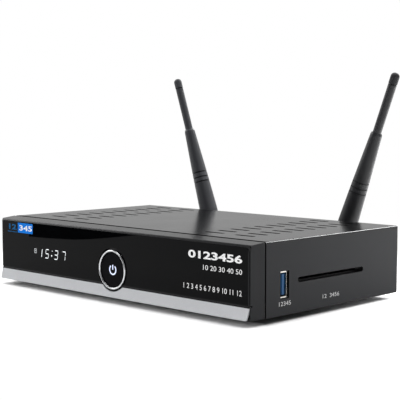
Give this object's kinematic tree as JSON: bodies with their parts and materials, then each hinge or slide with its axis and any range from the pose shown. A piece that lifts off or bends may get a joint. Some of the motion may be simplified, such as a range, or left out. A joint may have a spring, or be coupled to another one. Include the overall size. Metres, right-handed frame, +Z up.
{
  "type": "satellite tv receiver",
  "caption": "Flat metal-cased satellite TV receiver with a dark clock display, ringed power button, side card slot and USB port, and hinged rear antennas.",
  "frame": {"origin": "floor level under the middle of the receiver's whole box, antennas included", "axes": "+X to the right seen from the front, +Y towards the back, +Z up"},
  "size_m": [0.22, 0.1554, 0.1374],
  "materials": {
    "top_cover": "satin dark grey paint",
    "base_tray": "satin black paint",
    "feet": "matt",
    "cover_screws": "blackened",
    "fascia_frame": "satin",
    "display_window": "gloss",
    "trim_strip": "silver paint",
    "button_ring": "polished",
    "power_button": "satin",
    "power_symbol": "clear, lit",
    "switch_plunger": "matt",
    "push_switch": "plain",
    "front_board": "solder mask",
    "display_module": "matt",
    "infrared_receiver": "gloss",
    "fascia_screws": "zinc plated",
    "front_ribbon": "satin",
    "main_board": "solder mask",
    "board_standoffs": "plain",
    "board_screws": "zinc plated",
    "processor": "matt",
    "heat_sink": "black anodised",
    "memory_chips": "matt",
    "capacitors": "sleeved",
    "inductors": "ferrite",
    "satellite_tuner": "tin plated",
    "terrestrial_tuner": "tin plated",
    "f_connectors": "nickel plated",
    "f_connector_nuts": "nickel plated",
    "aerial_socket": "nickel plated",
    "contact_pins": "plain",
    "dc_jack": "matt",
    "hdmi_port": "nickel plated",
    "lan_jack": "matt",
    "rear_usb_shell": "nickel plated",
    "rear_usb_tongues": "matt",
    "optical_port": "matt",
    "optical_shutter": "matt",
    "av_jack": "matt",
    "rocker_housing": "matt",
    "rocker_switch": "satin",
    "side_usb_shell": "nickel plated",
    "side_usb_tongue": "satin blue",
    "card_reader": "matt",
    "wireless_module": "tin plated",
    "antenna_sockets": "gold plated",
    "antenna_socket_nuts": "gold plated",
    "antenna_leads": "sleeved",
    "left_antenna_hub": "satin",
    "left_antenna_nut": "plain",
    "left_antenna_pin": "plain",
    "left_antenna_sleeve": "satin",
    "left_antenna_whip": "satin",
    "left_antenna_cap": "satin",
    "right_antenna_hub": "satin",
    "right_antenna_nut": "plain",
    "right_antenna_pin": "plain",
    "right_antenna_sleeve": "satin",
    "right_antenna_whip": "satin",
    "right_antenna_cap": "satin"
  },
  "bodies": {
    "receiver": {"top_cover": "top_cover", "base_tray": "base_tray", "feet": "feet", "cover_screws": "cover_screws", "fascia_frame": "fascia_frame", "display_window": "display_window", "trim_strip": "trim_strip", "button_ring": "button_ring", "push_switch": "push_switch", "front_board": "front_board", "display_module": "display_module", "infrared_receiver": "infrared_receiver", "fascia_screws": "fascia_screws", "front_ribbon": "front_ribbon", "main_board": "main_board", "board_standoffs": "board_standoffs", "board_screws": "board_screws", "processor": "processor", "heat_sink": "heat_sink", "memory_chips": "memory_chips", "capacitors": "capacitors", "inductors": "inductors", "satellite_tuner": "satellite_tuner", "terrestrial_tuner": "terrestrial_tuner", "f_connectors": "f_connectors", "f_connector_nuts": "f_connector_nuts", "aerial_socket": "aerial_socket", "contact_pins": "contact_pins", "dc_jack": "dc_jack", "hdmi_port": "hdmi_port", "lan_jack": "lan_jack", "rear_usb_shell": "rear_usb_shell", "rear_usb_tongues": "rear_usb_tongues", "optical_port": "optical_port", "av_jack": "av_jack", "rocker_housing": "rocker_housing", "side_usb_shell": "side_usb_shell", "side_usb_tongue": "side_usb_tongue", "card_reader": "card_reader", "wireless_module": "wireless_module", "antenna_sockets": "antenna_sockets", "antenna_socket_nuts": "antenna_socket_nuts", "antenna_leads": "antenna_leads"},
    "power_button": {"power_button": "power_button", "power_symbol": "power_symbol", "switch_plunger": "switch_plunger"},
    "power_rocker": {"rocker_switch": "rocker_switch"},
    "optical_shutter": {"optical_shutter": "optical_shutter"},
    "left_antenna_foot": {"left_antenna_hub": "left_antenna_hub", "left_antenna_nut": "left_antenna_nut", "left_antenna_pin": "left_antenna_pin"},
    "left_antenna_mast": {"left_antenna_sleeve": "left_antenna_sleeve", "left_antenna_whip": "left_antenna_whip", "left_antenna_cap": "left_antenna_cap"},
    "right_antenna_foot": {"right_antenna_hub": "right_antenna_hub", "right_antenna_nut": "right_antenna_nut", "right_antenna_pin": "right_antenna_pin"},
    "right_antenna_mast": {"right_antenna_sleeve": "right_antenna_sleeve", "right_antenna_whip": "right_antenna_whip", "right_antenna_cap": "right_antenna_cap"}
  },
  "joints": [
    {"name": "power_button_press", "type": "slide", "parent": "receiver", "child": "power_button", "axis": [0, 1, 0], "range_m": [0, 0.0008], "stiffness_N_per_m": 1200, "springref_m": -0.0004},
    {"name": "power_rocker_tilt", "type": "hinge", "parent": "receiver", "child": "power_rocker", "pos_m": [-0.08, 0.05443, 0.0245], "axis": [1, 0, 0], "range_deg": [0, 16]},
    {"name": "optical_shutter_swing", "type": "hinge", "parent": "receiver", "child": "optical_shutter", "pos_m": [0.036, 0.05543, 0.0195], "axis": [-1, 0, 0], "range_deg": [0, 80], "stiffness_Nm_per_rad": 0.00003, "springref_deg": -17.19},
    {"name": "left_antenna_swivel", "type": "hinge", "parent": "receiver", "child": "left_antenna_foot", "pos_m": [-0.0563, 0.07126, 0.0255], "axis": [0, 1, 0], "range_deg": [-71.1, 43.9]},
    {"name": "left_antenna_elbow", "type": "hinge", "parent": "left_antenna_foot", "child": "left_antenna_mast", "pos_m": [-0.0563, 0.07126, 0.0255], "axis": [-0.9461, 0, -0.3239], "range_deg": [0, 90]},
    {"name": "right_antenna_swivel", "type": "hinge", "parent": "receiver", "child": "right_antenna_foot", "pos_m": [0.0563, 0.07126, 0.0255], "axis": [0, 1, 0], "range_deg": [-45.5, 69.5]},
    {"name": "right_antenna_elbow", "type": "hinge", "parent": "right_antenna_foot", "child": "right_antenna_mast", "pos_m": [0.0563, 0.07126, 0.0255], "axis": [-0.9367, 0, 0.3502], "range_deg": [0, 90]}
  ]
}
